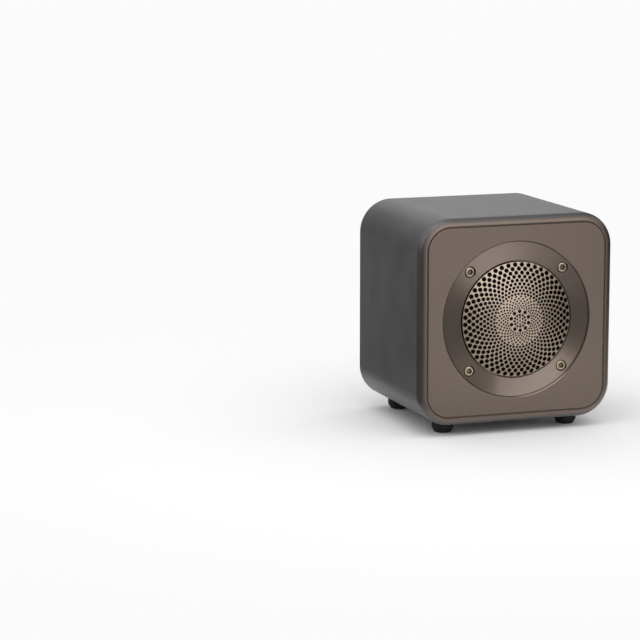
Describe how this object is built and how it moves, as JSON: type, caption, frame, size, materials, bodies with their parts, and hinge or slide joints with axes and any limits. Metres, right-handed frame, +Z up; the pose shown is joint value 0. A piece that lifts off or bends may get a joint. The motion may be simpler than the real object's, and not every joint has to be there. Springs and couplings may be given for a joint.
{
  "type": "portable wireless speaker",
  "caption": "Small rounded-square metal speaker with a domed perforated grille in a turned ring, rubber feet, rear keys and sockets, and a driver, board and battery inside.",
  "frame": {"origin": "on the floor under the feet, below the middle of the whole part", "axes": "+Z up, -Y out of the grille, +X to the right seen from the front"},
  "size_m": [0.09, 0.0786, 0.0949],
  "materials": {
    "body_metal": "matt anodised grey",
    "bronze_metal": "satin anodised bronze",
    "ring_metal": "turned anodised bronze",
    "bright_screw": "bright champagne plating",
    "grille_metal": "champagne anodised perforated sheet",
    "cover_plastic": "fine sparked texture",
    "black_rubber": "matt",
    "dark_screw": "black oxide",
    "zinc_screw": "zinc plated",
    "black_foam": "closed cell foam",
    "frame_steel": "black powder coat",
    "surround_rubber": "butyl, matt",
    "cone_paper": "coated paper pulp",
    "spider_cloth": "resin treated cotton",
    "former_foil": "amber film",
    "copper_wire": "enamelled copper",
    "zinc_steel": "zinc plated",
    "ferrite": "sintered ferrite",
    "strip_board": "phenolic paper",
    "tinned_brass": "tinned",
    "circuit_board": "green solder mask",
    "socket_steel": "nickel plated",
    "black_plastic": "moulded",
    "white_plastic": "moulded nylon",
    "clear_plastic": "clear acrylic",
    "led_resin": "clear resin",
    "shield_steel": "tin plated",
    "capacitor_can": "drawn can",
    "red_wire": "insulation",
    "black_wire": "insulation",
    "battery_wrap": "shrink film",
    "button_plastic": "satin moulded",
    "plunger_plastic": "moulded"
  },
  "bodies": {
    "cabinet": {"body_shell": "body_metal", "front_baffle": "bronze_metal", "front_gasket": "black_rubber", "trim_ring": "ring_metal", "trim_screws": "bright_screw", "grille": "grille_metal", "rear_cover": "cover_plastic", "rear_gasket": "black_rubber", "tie_screws": "dark_screw", "foot_screws": "dark_screw", "foot_front_left": "black_rubber", "foot_front_right": "black_rubber", "foot_rear_left": "black_rubber", "foot_rear_right": "black_rubber", "driver_gasket": "black_foam", "driver_frame": "frame_steel", "surround": "surround_rubber", "spider": "spider_cloth", "top_plate": "zinc_steel", "magnet": "ferrite", "yoke": "zinc_steel", "terminal_strip": "strip_board", "solder_tags": "tinned_brass", "main_board": "circuit_board", "board_screws": "zinc_screw", "usb_shell": "socket_steel", "usb_tongue": "black_plastic", "aux_socket": "black_plastic", "light_pipe": "clear_plastic", "status_led": "led_resin", "radio_module": "shield_steel", "amplifier_chip": "black_plastic", "power_inductor": "ferrite", "reservoir_capacitors": "capacitor_can", "speaker_socket": "white_plastic", "speaker_plug": "white_plastic", "speaker_lead": "red_wire", "battery_socket": "white_plastic", "battery_plug": "white_plastic", "battery_lead": "black_wire", "battery_pack": "battery_wrap", "battery_tray": "black_plastic", "tray_screws": "zinc_screw", "minus_switch": "black_plastic", "power_switch": "black_plastic", "plus_switch": "black_plastic"},
    "minus_key": {"minus_button": "button_plastic", "minus_plunger": "plunger_plastic"},
    "power_key": {"power_button": "button_plastic", "power_plunger": "plunger_plastic"},
    "plus_key": {"plus_button": "button_plastic", "plus_plunger": "plunger_plastic"},
    "cone_assembly": {"cone": "cone_paper", "dust_cap": "cone_paper", "coil_former": "former_foil", "coil_winding": "copper_wire"}
  },
  "joints": [
    {"name": "minus_press", "type": "slide", "parent": "cabinet", "child": "minus_key", "axis": [0, -1, 0], "range_m": [0, 0.0006], "stiffness_N_per_m": 800, "springref_m": -0.0008},
    {"name": "power_press", "type": "slide", "parent": "cabinet", "child": "power_key", "axis": [0, -1, 0], "range_m": [0, 0.0006], "stiffness_N_per_m": 800, "springref_m": -0.0008},
    {"name": "plus_press", "type": "slide", "parent": "cabinet", "child": "plus_key", "axis": [0, -1, 0], "range_m": [0, 0.0006], "stiffness_N_per_m": 800, "springref_m": -0.0008},
    {"name": "cone_stroke", "type": "slide", "parent": "cabinet", "child": "cone_assembly", "axis": [0, -1, 0], "range_m": [-0.0015, 0.0015], "stiffness_N_per_m": 1500, "deforming": ["surround", "spider"]}
  ]
}
